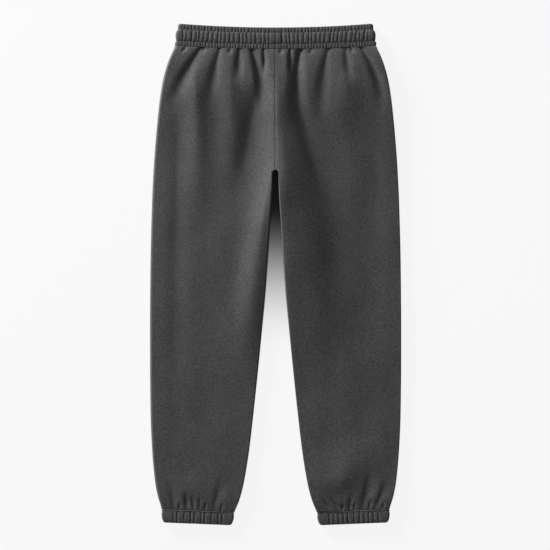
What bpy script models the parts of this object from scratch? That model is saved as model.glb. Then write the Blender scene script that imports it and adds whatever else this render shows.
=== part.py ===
"""Fleece sweatpants with a gathered elastic waistband and gathered elastic ankles, lying flat.

The garment lies face down on the surface z = 0 with its back uppermost and its waist towards +Y,
so the wearer's left leg is at -X.  Seven sewn pieces are built, each as one closed wall of cloth:
two back panels, two front panels, the waistband and two ankle cuffs.

Every panel is a grid of sections across the leg.  A section is worked out from the tables below,
which give the outline, the loft and the largest folds in millimetres.
"""

import math
from collections import namedtuple

import bpy
import numpy as np

MM = 0.001

# ---- driving dimensions, in millimetres -------------------------------------------------------
SEAM_GAP = 0.3  # between two sewn pieces
CLOTH = 3.0  # brushed fleece, one layer
WAIST_SEAM_Y = 457.7  # where the centre back seam meets the waistband
LEG_LENGTH = 938.9  # from the waistband seam to the ankle cuff seam
ROW_RISE = 5.9  # a row across the leg climbs this much from the inseam to the side seam
BAND_HEIGHT_CENTRE = 43.9
BAND_HEIGHT_SIDE = 46.5
CUFF_HEIGHT = 28.2
SLIT_UNDER, SLIT_TOP = 4.5, 8.1  # the flattened waist opening, as heights above the surface
CUFF_SLIT_UNDER, CUFF_SLIT_TOP = 3.4, 6.4
WAIST_CURVE_FADES = 150.0  # rows follow the waistband's curve and straighten out in this length

PARTING = 3.4  # height of the side seam and inseam on the rolled edge
BACK_ROLL = 7.0  # how far in from the edge the back panel reaches its full height
FRONT_ROLL = 4.0
DOME, DOME_REACH = 3.0, 250.0  # the garment is this much thinner at the sides than in the middle
LEAST_LOFT = 6.6  # two layers pressed together
CENTRE_ROLL = 2.5  # the soft shoulder beside the centre back seam
CENTRE_GROOVE = 2.0
NEST_GAP = 3.6  # most air between the back and front panels; above it the front lifts too
NEST_START, NEST_IN = 5.2, 10.0  # the lift starts this far inside the back's edge, and grows in
BACK_STEPS, FRONT_STEPS = (3, 15), (2, 9)  # across a panel: round each rolled edge, and between

BACK_FORK = 245.0  # where the back panels part below the waistband seam
FRONT_FORK = 300.0  # the front panels part lower down and show between the legs
FORK_OPENING = 6.0  # length in which the fork opens to its full width

GATHERS_WAIST = 22  # pleats across each face of the waistband
GATHERS_CUFF = 8
UNGATHERED_END = 13.0  # smooth stretch of waistband and cuff at each side

# ---- tables ----------------------------------------------------------------------------------
# Sections of a leg: distance down from the waistband seam, distances of the side seam and of the
# back's and the front's inseam from the centre line, and height of the upper face in mid leg.
Section = namedtuple("Section", "down side inseam front_inseam loft")
LEG = (
    Section(0, 204.6, 0.15, 0.15, 11.6),
    Section(8, 208.6, 0.15, 0.15, 13.8),
    Section(20, 214.3, 0.15, 0.15, 15.0),
    Section(40, 221.8, 0.15, 0.15, 15.2),
    Section(72, 230.0, 0.15, 0.15, 15.0),
    Section(105, 235.3, 0.15, 0.15, 14.2),
    Section(153, 240.6, 0.15, 0.15, 12.6),
    Section(202, 244.9, 0.15, 0.15, 11.4),
    Section(251, 248.3, 5.7, 0.15, 10.6),
    Section(306, 251.0, 7.3, 3.0, 10.3),
    Section(355, 252.6, 10.6, 10.5, 10.1),
    Section(380, 253.3, 12.3, 12.2, 10.0),
    Section(430, 254.4, 15.6, 15.5, 9.9),
    Section(500, 255.2, 20.8, 20.8, 9.7),
    Section(560, 255.6, 26.5, 26.5, 9.6),
    Section(650, 255.5, 35.4, 35.4, 9.4),
    Section(750, 254.3, 46.1, 46.1, 9.2),
    Section(815, 251.5, 53.8, 53.8, 9.2),
    Section(880, 245.8, 64.4, 64.4, 9.6),
    Section(912, 240.2, 72.4, 72.4, 9.9),
    Section(928, 235.3, 78.4, 78.4, 9.6),
    Section(LEG_LENGTH, 231.8, 84.0, 84.0, 8.8),
)

# A fold runs down from the waistband or up from the cuff.  Its line passes through three places
# across the garment, between two distances below the waistband seam.  Then come its half width at
# both ends, how much wider it is towards +X than towards -X, how blunt its profile is, and its
# depth.  A negative depth is a ridge.
Fold = namedtuple(
    "Fold", "x_start x_mid x_end start end width_start width_end skew bluntness depth"
)
BACK_FOLDS = (
    # the wearer's left, from the side seam to the centre
    Fold(-214, -222, -220, 40, 900, 12, 14, 0, 2, 1.2),
    Fold(-156, -192, -215, 0, 150, 9, 20, 0, 2, 3.6),
    Fold(-114, -129, -133, 0, 215, 9, 22, 0, 2, 4.0),
    Fold(-76, -78, -78, 0, 50, 8, 12, 0, 2, 2.0),
    Fold(-52, -41, -37, 0, 125, 9, 15, -0.2, 2, 4.0),
    Fold(-36, -46, -78, 40, 340, 26, 34, -0.3, 2, 5.0),
    # the wearer's right, from the centre to the side seam
    Fold(41, 47, 62, 0, 215, 10, 22, 0.1, 2, 5.0),
    Fold(110, 97, 89, 0, 170, 9, 22, 0, 2, 3.4),
    Fold(143, 150, 158, 0, 80, 8, 15, 0, 2, 2.4),
    Fold(175, 208, 221, 0, 185, 9, 22, 0, 2, 3.8),
    Fold(200, 196, 196, 70, 800, 22, 36, 0, 2, 1.4),
    # the ridge along the seat, which goes on down both inseams
    Fold(8, 9, 10, 6, 420, 26, 46, 0, 1.6, -8.0),
    Fold(-10, -42, -62, 215, 730, 24, 28, -0.3, 2, -8.0),
    Fold(6, 26, 52, 120, 720, 34, 84, 0, 3, -11.0),
    # above the ankles
    Fold(-181, -183, -186, LEG_LENGTH, 900, 8, 12, 0, 2, 1.8),
    Fold(-126, -117, -108, LEG_LENGTH, 880, 8, 14, 0, 2, 2.0),
    Fold(112, 105, 99, LEG_LENGTH, 912, 8, 12, 0, 2, 1.6),
    Fold(174, 184, 194, LEG_LENGTH, 850, 8, 15, 0, 2, 2.2),
    Fold(203, 214, 224, LEG_LENGTH, 870, 7, 13, 0, 2, 1.8),
)

# Rows across the waistband, from its lower seam to its top edge, and down an ankle cuff from its
# seam to the hem: distance from the seam, half width, heights of the upper and under face, and
# depth of the gathers.  The stitched lines are the low rows between the rolls.
Row = namedtuple("Row", "along half_width top under gather")
WAISTBAND = (
    Row(0.0, 204.4, 10.8, 0.6, 0.6),
    Row(5.5, 204.6, 12.6, 0.0, 1.4),
    Row(11.0, 201.8, 10.9, 1.4, 0.7),
    Row(16.5, 202.6, 14.2, 0.0, 2.2),
    Row(27.5, 201.6, 14.2, 0.0, 2.2),
    Row(33.0, 198.8, 10.9, 1.4, 0.7),
    Row(38.5, 198.4, 12.6, 0.0, 1.4),
    Row(BAND_HEIGHT_CENTRE, 197.2, 10.6, 1.4, 0.8),
)
CUFF = (
    Row(0.0, 73.8, 9.0, 0.4, 0.4),
    Row(3.0, 74.0, 10.0, 0.0, 0.6),
    Row(6.2, 72.8, 8.8, 1.0, 0.4),
    Row(11.0, 73.2, 11.4, 0.0, 1.8),
    Row(23.5, 70.8, 11.2, 0.0, 1.8),
    Row(CUFF_HEIGHT, 68.6, 8.9, 1.0, 0.6),
)

CHARCOAL = (0.052, 0.052, 0.054, 1.0)


# ---- small tools -----------------------------------------------------------------------------
def column(table, field):
    return np.array([getattr(row, field) for row in table], float)


def smooth_curve(table, field, at, along="down"):
    """A smooth curve through a table's rows that never overshoots them (cubic Hermite spans)."""
    x, y = column(table, along), column(table, field)
    step, rise = np.diff(x), np.diff(y)
    secant = rise / step
    slope = np.zeros_like(y)
    slope[0], slope[-1] = secant[0], secant[-1]
    same_way = secant[:-1] * secant[1:] > 0
    mean = 2 * secant[:-1] * secant[1:] / np.where(same_way, secant[:-1] + secant[1:], 1)
    slope[1:-1] = np.where(same_way, mean, 0)
    span = np.clip(np.searchsorted(x, at, side="right") - 1, 0, len(step) - 1)
    t = np.clip((at - x[span]) / step[span], 0, 1)
    return (
        y[span] * (1 + 2 * t) * (1 - t) ** 2
        + y[span + 1] * t * t * (3 - 2 * t)
        + step[span] * t * (1 - t) * (slope[span] * (1 - t) - slope[span + 1] * t)
    )


def ease(t):
    """0 to 1 with a soft start and end."""
    t = np.clip(t, 0, 1)
    return t * t * (3 - 2 * t)


def facing(side, upper, under):
    """Both grids with their rows going up the leg and their columns towards +X."""
    columns = slice(None, None, side)
    return upper[::-1, columns], under[::-1, columns]


def fleece(name):
    material = bpy.data.materials.new(name)
    material.use_nodes = True
    shader = material.node_tree.nodes["Principled BSDF"]
    shader.inputs["Base Color"].default_value = CHARCOAL
    shader.inputs["Roughness"].default_value = 0.95
    shader.inputs["Metallic"].default_value = 0.0
    material.diffuse_color = CHARCOAL
    return material


def wall(name, outer, inner, ring=False):
    """One closed wall of cloth between two grids of points, (rows, columns, xyz) in millimetres.

    The grids share their shape.  A panel is closed along its four edges, and a ring wraps round
    its columns and is closed along its two rims.
    """
    rows, columns = outer.shape[:2]
    points = np.concatenate([outer.reshape(-1, 3), inner.reshape(-1, 3)]) * MM
    index = np.arange(rows * columns).reshape(rows, columns)
    if ring:
        index = np.hstack([index, index[:, :1]])
    below = index + rows * columns
    quads = [
        np.stack([index[:-1, :-1], index[:-1, 1:], index[1:, 1:], index[1:, :-1]], -1),
        np.stack([below[:-1, :-1], below[1:, :-1], below[1:, 1:], below[:-1, 1:]], -1),
        np.stack([index[0, 1:], index[0, :-1], below[0, :-1], below[0, 1:]], -1),
        np.stack([index[-1, :-1], index[-1, 1:], below[-1, 1:], below[-1, :-1]], -1),
    ]
    if not ring:
        quads += [
            np.stack([index[:-1, 0], index[1:, 0], below[1:, 0], below[:-1, 0]], -1),
            np.stack([index[1:, -1], index[:-1, -1], below[:-1, -1], below[1:, -1]], -1),
        ]
    faces = np.concatenate([quad.reshape(-1, 4) for quad in quads])
    mesh = bpy.data.meshes.new(name)
    mesh.from_pydata(points.tolist(), [], faces.tolist())
    mesh.validate()
    mesh.shade_smooth()
    mesh.set_sharp_from_angle(angle=math.radians(50))
    piece = bpy.data.objects.new(name, mesh)
    piece.data.materials.append(fleece(name + "_fleece"))
    bpy.context.scene.collection.objects.link(piece)
    return piece


# ---- the garment's surface -------------------------------------------------------------------
def fold_depth(fold, x, down):
    """A trough about the parabola through the fold's three places, fading along its length."""
    t = (down - fold.start) / (fold.end - fold.start)
    s = np.clip(t, 0, 1)
    line = (
        fold.x_start * (1 - s) * (1 - 2 * s)
        + fold.x_mid * 4 * s * (1 - s)
        + fold.x_end * s * (2 * s - 1)
    )
    width = fold.width_start + (fold.width_end - fold.width_start) * np.sqrt(s)
    width = width * (1 + fold.skew * np.sign(x - line))
    at_seam = fold.start in (0, LEG_LENGTH)
    fade = (1 if at_seam else ease(t / 0.3)) * (1 - ease((t - 0.35) / 0.65)) * (t >= 0)
    return fold.depth * fade * np.exp(-((abs(x - line) / width) ** fold.bluntness))


def upper_face(x, down):
    """Height of the back panel's upper face: the loft less the folds, eased off above the height
    of two pressed layers."""
    height = smooth_curve(LEG, "loft", down) + 1 - DOME * (x / DOME_REACH) ** 2
    for fold in BACK_FOLDS:
        height = height - fold_depth(fold, x, down)
    blend = 0.6
    return LEAST_LOFT + blend * np.logaddexp(0, (height - LEAST_LOFT) / blend)


def inseam_at(field, down, fork):
    """The inseam's distance from the centre line, which is the centre seam above the fork."""
    centre_seam = SEAM_GAP / 2
    inseam = smooth_curve(LEG, field, np.maximum(down, fork + FORK_OPENING))
    return centre_seam + (inseam - centre_seam) * ease((down - fork) / FORK_OPENING)


def rows_down(waist_rows, leg_rows, fork, middle=()):
    """Distances below the waistband seam, crowded where the folds are: waist, fork and ankle.

    The rows of `middle` lie between the waist's rows, which end at its first one, and the fork.
    """
    waist = (middle[0] if middle else fork) * np.linspace(0, 1, waist_rows) ** 1.5
    if middle:
        waist = np.concatenate([waist, middle[1:], [fork]])
    leg = 1 - (1 - np.linspace(0, 1, leg_rows)) ** 2.2
    start = fork + FORK_OPENING
    leg = start + (LEG_LENGTH - SEAM_GAP - start) * leg
    return np.concatenate([waist, [fork + FORK_OPENING / 2], leg])[:, None]


def across_steps(steps, roll_in, roll_out, width, begin=None):
    """Places across a leg, from 0 at the inseam to 1 at the side, and the rolled edges' rise.

    Each edge is a quarter turn of its own reach, and the rise goes from 0 at the seam to 1.
    Between them the steps are even, or start with the places in `begin`.
    """
    roll_steps, middle_steps = steps
    turn = np.linspace(0, math.pi / 2, roll_steps + 1)
    start = roll_in / width * (1 - np.cos(turn))
    end = 1 - roll_out / width * (1 - np.cos(turn))
    if begin is not None:
        start = np.hstack([start, begin])
    middle = np.linspace(0, 1, middle_steps + 1)[1:-1]
    middle = start[:, -1:] + (end[:, -1:] - start[:, -1:]) * middle
    across = np.hstack([start, middle, end[:, ::-1]])
    rise_in, rise_out = np.ones(across.shape[1]), np.ones(across.shape[1])
    rise_in[: roll_steps + 1] = np.sin(turn)
    rise_out[-roll_steps - 1 :] = np.sin(turn)[::-1]
    return across, rise_in, rise_out


def row_place(field, side, across, down, fork):
    """Where the points of each row lie in plan."""
    inner, outer = inseam_at(field, down, fork), smooth_curve(LEG, "side", down)
    x = inner + (outer - inner) * across
    bend = ease(1 - down / WAIST_CURVE_FADES)
    rise = ROW_RISE * (across + (across**2 - across) * bend)
    return side * x, WAIST_SEAM_Y - SEAM_GAP - down + rise


def back_panel(name, side):
    """A back panel: the upper face of one leg, rolled down to the inseam and the side seam."""
    down = rows_down(12, 12, BACK_FORK)
    width = smooth_curve(LEG, "side", down) - inseam_at("inseam", down, BACK_FORK)
    split = ease((down - BACK_FORK) / FORK_OPENING)  # 0 along the centre seam, 1 on the inseam
    roll_in = CENTRE_ROLL + (BACK_ROLL - CENTRE_ROLL) * split
    across, rise_in, rise_out = across_steps(BACK_STEPS, roll_in, BACK_ROLL, width)
    x, y = row_place("inseam", side, across, down, BACK_FORK)
    height = upper_face(x, down)
    seam = PARTING + SEAM_GAP / 2

    def rolled(face, centre_edge):
        edge = centre_edge + (seam - centre_edge) * split
        return seam + (edge + (face - edge) * rise_in - seam) * rise_out

    upper_z = rolled(height, height - CENTRE_GROOVE)
    under_z = rolled(height - CLOTH, height - CLOTH)
    turned = CLOTH * (split * (1 - rise_in) - (1 - rise_out))
    x_under, y_under = row_place("inseam", side, across + turned / width, down, BACK_FORK)
    upper, under = np.stack([x, y, upper_z], -1), np.stack([x_under, y_under, under_z], -1)
    return wall(name, *facing(side, upper, under))


def front_lift(x, down):
    """How far the front panel rises off the surface to stay nested under a high back panel."""
    excess = np.maximum(upper_face(x, down) - 2 * CLOTH - NEST_GAP, 0)
    joined = ease((BACK_FORK - down) / NEST_IN)  # above the fork the two panels rise as one
    from_inseam = abs(x) - inseam_at("inseam", down, BACK_FORK) - NEST_START * (1 - joined)
    from_side = smooth_curve(LEG, "side", down) - abs(x) - NEST_START
    return excess * ease(np.minimum(from_inseam + NEST_IN * joined, from_side) / NEST_IN)


def front_panel(name, side):
    """A front panel: the under face of one leg, flat where it rests, its edges rolled up."""
    nested = (BACK_FORK - NEST_IN, BACK_FORK, BACK_FORK + FORK_OPENING, 275)
    down = rows_down(6, 8, FRONT_FORK, nested)
    width = smooth_curve(LEG, "side", down) - inseam_at("front_inseam", down, FRONT_FORK)
    nest = inseam_at("inseam", down, BACK_FORK) + NEST_START + NEST_IN * np.array([0, 0.45, 1])
    begin = (nest - inseam_at("front_inseam", down, FRONT_FORK)) / width
    across, rise_in, rise_out = across_steps(FRONT_STEPS, FRONT_ROLL, FRONT_ROLL, width, begin)
    x, y = row_place("front_inseam", side, across, down, FRONT_FORK)
    lift = front_lift(x, down)
    split = ease((down - FRONT_FORK) / FORK_OPENING)
    edge_in, edge_out = split * (1 - rise_in), 1 - rise_out
    seam = PARTING - SEAM_GAP / 2
    under_z = lift + seam * np.maximum(edge_in, edge_out)
    upper_z = CLOTH + lift + (seam - CLOTH) * np.maximum(edge_in, edge_out)
    turned = CLOTH * (edge_in - edge_out)
    x_upper, y_upper = row_place("front_inseam", side, across + turned / width, down, FRONT_FORK)
    upper, under = np.stack([x_upper, y_upper, upper_z], -1), np.stack([x, y, under_z], -1)
    return wall(name, *facing(side, upper, under))


def gather_line(count, half_width):
    """Across one face, from one end to the other: place and depth (0 ridge, 1 valley)."""
    number = np.arange(2 * count + 1)
    uneven = 1 + 0.22 * np.sin(2.4 * number) + 0.14 * np.sin(5.1 * number + 1)
    place = np.concatenate([[0], np.cumsum(uneven[1:])])
    reach = half_width - UNGATHERED_END
    return place / place[-1] * 2 * reach - reach, (number % 2).astype(float)


def band_ring(table, count, end_steps, slit_under, slit_top):
    """Outer and inner grids of a flattened ring, as (rows, columns) of x, along and z.

    Columns run over the upper face, round one end, back under the lower face and round the other
    end.  The rows are the table's.
    """
    half = column(table, "half_width")[:, None]
    top, under = column(table, "top")[:, None], column(table, "under")[:, None]
    gather = column(table, "gather")[:, None]
    place, valley = gather_line(count, half[0, 0])
    scale = (half - UNGATHERED_END) / (half[0, 0] - UNGATHERED_END)
    face_x = place * scale
    upper_z = top - gather * valley
    lower_z = np.minimum(under + 0.6 * gather * valley, slit_under - 1.8)
    turn = np.linspace(0, math.pi, end_steps + 1)[1:-1]
    centre_z, half_z = (top + under) / 2, (top - under) / 2
    round_x = half - half_z + half_z * np.sin(turn)
    round_z = centre_z + half_z * np.cos(turn)
    outer_x = np.hstack([face_x, round_x, face_x[:, ::-1], -round_x])
    outer_z = np.hstack([upper_z, round_z, lower_z[:, ::-1], round_z[:, ::-1]])

    slit_mid, slit_half = (slit_top + slit_under) / 2, (slit_top - slit_under) / 2
    inner_half = half - 4.4
    inner_face = place * (inner_half - UNGATHERED_END + 4.4) / (half[0, 0] - UNGATHERED_END)
    end_x = inner_half - slit_half + slit_half * np.sin(turn)
    flat = np.ones_like(inner_face)
    end_z = slit_mid + slit_half * np.cos(turn) * np.ones_like(half)
    inner_x = np.hstack([inner_face, end_x, inner_face[:, ::-1], -end_x])
    inner_z = np.hstack([slit_top * flat, end_z, slit_under * flat, end_z[:, ::-1]])
    return outer_x, outer_z, inner_x, inner_z


def waistband(name):
    """The elastic casing, stitched into a wide roll between two narrow ones."""
    outer_x, outer_z, inner_x, inner_z = band_ring(
        WAISTBAND, GATHERS_WAIST, 4, SLIT_UNDER, SLIT_TOP
    )
    along = column(WAISTBAND, "along")[:, None] / BAND_HEIGHT_CENTRE

    def place(x, z):
        bottom = WAIST_SEAM_Y + ROW_RISE * (x / WAISTBAND[0].half_width) ** 2
        side_share = np.minimum(abs(x) / WAISTBAND[0].half_width, 1) ** 2
        height = BAND_HEIGHT_CENTRE + (BAND_HEIGHT_SIDE - BAND_HEIGHT_CENTRE) * side_share
        return np.stack([x, bottom + along * height, z], -1)

    return wall(name, place(outer_x, outer_z), place(inner_x, inner_z), ring=True)


def cuff(name, side):
    """A gathered ankle cuff at the foot of one leg, square to the leaning leg."""
    outer_x, outer_z, inner_x, inner_z = band_ring(
        CUFF, GATHERS_CUFF, 4, CUFF_SLIT_UNDER, CUFF_SLIT_TOP
    )
    end = LEG[-1]
    centre, width = (end.side + end.inseam) / 2, end.side - end.inseam
    lean = ROW_RISE / width
    along = column(CUFF, "along")[:, None]

    def place(x, z):
        seam_y = WAIST_SEAM_Y - LEG_LENGTH - SEAM_GAP + ROW_RISE / 2
        y = seam_y + side * lean * x - along
        return np.stack([side * centre + x + side * lean * along, y, z], -1)

    outer, inner = place(outer_x, outer_z), place(inner_x, inner_z)
    return wall(name, outer[::-1], inner[::-1], ring=True)


def clear_scene():
    for thing in list(bpy.data.objects):
        bpy.data.objects.remove(thing, do_unlink=True)


def build():
    clear_scene()
    pieces = [waistband("waistband")]
    for side, word in ((-1, "left"), (1, "right")):
        pieces += [back_panel("back_panel_" + word, side), front_panel("front_panel_" + word, side)]
        pieces += [cuff("ankle_cuff_" + word, side)]
    garment = bpy.data.objects.new("sweatpants", None)
    bpy.context.scene.collection.objects.link(garment)
    for piece in pieces:
        piece.parent = garment


build()
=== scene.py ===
# %% [markdown]
# # Fleece sweatpants, laid flat
#
# These notes make the looks of a pair of charcoal fleece sweatpants that lie face down on a pale
# surface: a gathered elastic waistband, two legs, and two gathered elastic ankle cuffs.  The solid
# model already holds the sizes of the seven sewn pieces.  Here each piece becomes a fine shell of
# cloth in the same place, with its creases, gathers, stitches and nap.
#
# Cloth can be simulated, but a garment that someone has smoothed out by hand has few creases, and
# each has its own place.  A surface worked out from a table of creases keeps every one of them
# where it belongs, so that is the way taken here.

# %% Load the solid model
import math
from collections import namedtuple

import bpy
import numpy as np
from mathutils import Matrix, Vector


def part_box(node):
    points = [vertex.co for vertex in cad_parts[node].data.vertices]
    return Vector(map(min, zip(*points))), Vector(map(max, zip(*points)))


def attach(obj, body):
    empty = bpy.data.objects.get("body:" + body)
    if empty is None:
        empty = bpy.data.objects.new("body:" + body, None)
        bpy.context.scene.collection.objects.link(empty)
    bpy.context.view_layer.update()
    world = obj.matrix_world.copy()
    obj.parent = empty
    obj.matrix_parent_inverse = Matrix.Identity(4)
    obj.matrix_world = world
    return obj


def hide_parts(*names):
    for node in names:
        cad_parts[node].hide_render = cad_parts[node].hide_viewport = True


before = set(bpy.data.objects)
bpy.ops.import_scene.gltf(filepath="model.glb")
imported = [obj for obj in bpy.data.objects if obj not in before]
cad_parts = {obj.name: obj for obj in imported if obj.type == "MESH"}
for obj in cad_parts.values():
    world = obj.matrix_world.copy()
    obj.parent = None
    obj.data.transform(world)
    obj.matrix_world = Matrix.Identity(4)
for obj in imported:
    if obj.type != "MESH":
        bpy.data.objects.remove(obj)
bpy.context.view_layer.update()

# %% [markdown]
# ## Sizes
#
# The tables below are in millimetres, because that is how a maker measures a garment.  The lines
# where the pieces meet are read from the solid model, so the shells can't drift away from it.
#
# A leg is described by rows across it.  A row is named by its distance `down` from the waistband
# seam, and a point on the row by its place `across`, from 0 at the inseam to 1 at the side seam.

# %% Sizes of the garment
MM = 0.001


def box_of(node):
    """A node's lowest and highest corners in millimetres."""
    low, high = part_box(node)
    return np.array(low) / MM, np.array(high) / MM


BAND_LOW, _ = box_of("waistband")
PANEL_LOW, PANEL_HIGH = box_of("back_panel_right")

SEAM_GAP = 0.3  # between two sewn pieces
CLOTH = 3.0  # one layer of brushed fleece
ROW_RISE = 5.9  # a row climbs this much from the inseam to the side seam
WAIST_SEAM_Y = BAND_LOW[1]
LEG_LENGTH = PANEL_HIGH[1] - PANEL_LOW[1] - ROW_RISE + SEAM_GAP
WAIST_CURVE_FADES = 150.0  # rows follow the waistband's curve and straighten out in this length
PARTING = 3.4  # height of the seams on the rolled edges
NEST_GAP = 3.6  # most air between the back and front panels
NEST_IN = 10.0  # in which the front panel's lift fades out towards a seam
LEAST_LOFT = 6.5  # two layers pressed together

# How far in from an edge a panel reaches its full height.  The wearer's right leg, side 1, is
# pressed sharper at its edges than the left one, side -1.
FRONT_ROLL = 5.0
SIDE_ROLL = {-1: 5.0, 1: 1.6}
INSEAM_ROLL = {-1: 0.5, 1: 0.2}  # share of the swell in the table
CENTRE_ROLL = 3.0  # beside the pressed centre back seam
CENTRE_GROOVE = {-1: 1.5, 1: 0.1}  # how far each panel dips to that seam
BACK_FORK, FRONT_FORK = 245.0, 300.0  # where the back and the front panels part
FORK_OPENING = 5.0
LAP = 2.2  # how far a seam's edges lean over one another
CENTRE_LAP_FADES, END_LAP_FADES = 10.0, 8.0  # widths in which the leaning fades out
print(f"waist seam at y = {WAIST_SEAM_Y:.1f} mm, legs {LEG_LENGTH:.1f} mm long")

# %% [markdown]
# Each row of `LEG` gives the side seam's and the inseams' distances from the centre line, how far
# in from the inseam the leg swells to its full height, and that height.  The front panels are
# joined lower down than the back ones, so they show between the legs just below the crotch.

# %% Sections of a leg
Section = namedtuple("Section", "down side inseam front_inseam swell loft")
LEG = (
    Section(0, 204.6, 0.15, 0.15, 3, 13.0),
    Section(8, 208.6, 0.15, 0.15, 3, 14.0),
    Section(20, 214.3, 0.15, 0.15, 3, 14.9),
    Section(40, 221.8, 0.15, 0.15, 3, 15.6),
    Section(72, 230.0, 0.15, 0.15, 3, 15.4),
    Section(105, 235.3, 0.15, 0.15, 3, 14.4),
    Section(153, 240.6, 0.15, 0.15, 3, 12.6),
    Section(202, 244.9, 0.15, 0.15, 3, 11.4),
    Section(245, 248.0, 5.5, 0.15, 3, 10.8),
    Section(270, 249.3, 6.0, 0.15, 4, 10.6),
    Section(306, 251.0, 7.3, 3.0, 6, 10.4),
    Section(355, 252.6, 10.6, 10.5, 7, 10.3),
    Section(380, 253.3, 12.3, 12.2, 7, 10.2),
    Section(430, 254.4, 15.6, 15.5, 7, 10.1),
    Section(500, 255.2, 20.8, 20.7, 6, 9.9),
    Section(560, 255.6, 26.5, 26.4, 6, 9.7),
    Section(650, 255.5, 35.4, 35.3, 5, 9.3),
    Section(750, 254.3, 46.1, 46.0, 5, 8.9),
    Section(815, 251.5, 53.8, 53.7, 5, 9.2),
    Section(880, 245.8, 64.4, 64.3, 5, 9.7),
    Section(912, 240.2, 72.4, 72.3, 5, 9.9),
    Section(928, 235.3, 78.4, 78.3, 5, 9.4),
    Section(LEG_LENGTH, 231.8, 84.0, 83.9, 5, 8.8),
)
print(len(LEG), "rows; across both thighs:", 2 * max(row.side for row in LEG), "mm")

# %% [markdown]
# ## Creases
#
# The elastic is shorter than the cloth, so the cloth leaves the seam in sharp little valleys that
# widen and die out.  A crease is listed by its course, `x_start` to `x_mid` to `x_end`, between two
# distances down the leg, with its half width at both ends and its depth.  A negative depth is a
# ridge, such as the swelling on each side of the crotch or the low one above the right ankle.

# %% The creases of the back
Crease = namedtuple(
    "Crease", "x_start x_mid x_end start end width_start width_end skew bluntness depth"
)
END = LEG_LENGTH
BACK_CREASES = (
    # below the waistband, from the wearer's left side seam to the centre
    Crease(-183, -186, -189, 0, 14, 2.5, 5, 0, 2, 1.6),
    Crease(-151, -190, -212, 0, 140, 4.5, 18, 0.1, 2, 4.0),
    Crease(-145, -146, -147, 0, 14, 2.5, 4, 0, 2, 1.4),
    Crease(-113, -127, -133, 0, 140, 3.5, 14, 0, 2, 3.2),
    Crease(-93, -94, -95, 0, 14, 2.5, 5, 0, 2, 1.6),
    Crease(-74, -75, -75, 0, 78, 3, 11, 0, 2, 3.8),
    Crease(-50, -32, -30, 0, 140, 3.5, 16, 0.35, 2, 6.2),
    Crease(-38, -52, -80, 50, 330, 14, 31, 0.25, 2.1, 4.8),
    Crease(-25, -23, -22, 0, 60, 2.4, 6, 0.2, 2, 3.4),
    # and from the centre to the wearer's right side seam
    Crease(10, 11, 11, 0, 14, 2.5, 5, 0, 2, 1.6),
    Crease(29, 30, 32, 0, 62, 2.4, 7, 0.2, 2, 3.6),
    Crease(50, 43, 62, 0, 190, 3.5, 18, 0, 2, 7.4),
    Crease(40, 82, 140, 80, 400, 14, 42, 0.45, 1.8, 4.8),
    Crease(72, 71, 70, 0, 14, 2.5, 5, 0, 2, 1.4),
    Crease(107, 95, 98, 0, 170, 3.5, 17, 0, 2, 3.2),
    Crease(142, 147, 154, 0, 80, 3, 11, 0, 2, 2.4),
    Crease(153, 155, 157, 0, 14, 2.5, 5, 0, 2, 1.6),
    Crease(173, 209, 214, 0, 150, 4, 12, 0, 2, 3.8),
    # the full folds between them
    Crease(-168, -158, -157, 10, 380, 14, 26, 0, 2, -4.0),
    Crease(-96, -89, -91, 10, 320, 14, 26, 0, 2, -3.0),
    Crease(138, 140, 142, 20, 210, 15, 26, 0, 2, -1.8),
    # hollows inside the rolled side seams
    Crease(-196, -202, -201, 40, 900, 15, 18, 0.2, 2, 1.3),
    Crease(206, 202, 202, 70, 800, 24, 38, -0.3, 2, 1.8),
    # the seat's ridge, and the swelling down both inseams
    Crease(3, 6, 10, 26, 420, 26, 48, 0, 1.5, -8.0),
    Crease(-3, -41, -66, 205, 740, 10, 38, 0, 2, -8.6),
    Crease(10, 36, 58, 120, 720, 27, 71, 0.2, 2.8, -12.4),
    # above the left ankle, from the side seam to the inseam
    Crease(-206, -212, -226, END, 870, 3, 10, 0.3, 2, 1.3),
    Crease(-195, -195, -196, END, 922, 1.8, 3, 0, 2, 1.4),
    Crease(-180, -182, -184, END, 898, 2.2, 7, 0.3, 2, 2.3),
    Crease(-167, -169, -171, END, 904, 1.8, 5, 0.2, 2, 1.8),
    Crease(-154, -154, -154, END, 906, 1.8, 4, 0, 2, 1.0),
    Crease(-143, -143, -143, END, 922, 1.8, 3, 0, 2, 1.3),
    Crease(-126, -117, -106, END, 862, 2.6, 12, 0.3, 2, 1.4),
    Crease(-110, -109, -108, END, 920, 1.8, 3, 0, 2, 1.1),
    Crease(-176, -180, -184, 892, 800, 14, 22, 0.3, 2, 1.1),
    # above the right ankle, from the inseam to the side seam
    Crease(114, 102, 90, END, 908, 1.8, 4, 0.2, 2, 1.9),
    Crease(131, 119, 106, END, 908, 1.8, 4, 0.2, 2, 1.9),
    Crease(136, 136, 136, END, 924, 1.8, 3, 0, 2, 1.6),
    Crease(150, 151, 152, END, 906, 2.0, 4.5, 0.2, 2, 1.9),
    Crease(161, 160, 160, END, 922, 1.8, 3, 0, 2, 1.6),
    Crease(174, 187, 193, END, 845, 3.0, 14, 0.3, 2, 2.0),
    Crease(190, 192, 194, END, 916, 1.8, 3.5, 0, 2, 1.4),
    Crease(201, 218, 226, END, 862, 3.0, 12, 0.3, 2, 1.5),
    Crease(219, 219, 219, END, 922, 1.8, 3, 0, 2, 1.1),
    Crease(120, 141, 160, 916, 780, 26, 58, -0.2, 2, -2.9),
)
print(len(BACK_CREASES), "creases, up to", max(crease.depth for crease in BACK_CREASES), "mm deep")

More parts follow.
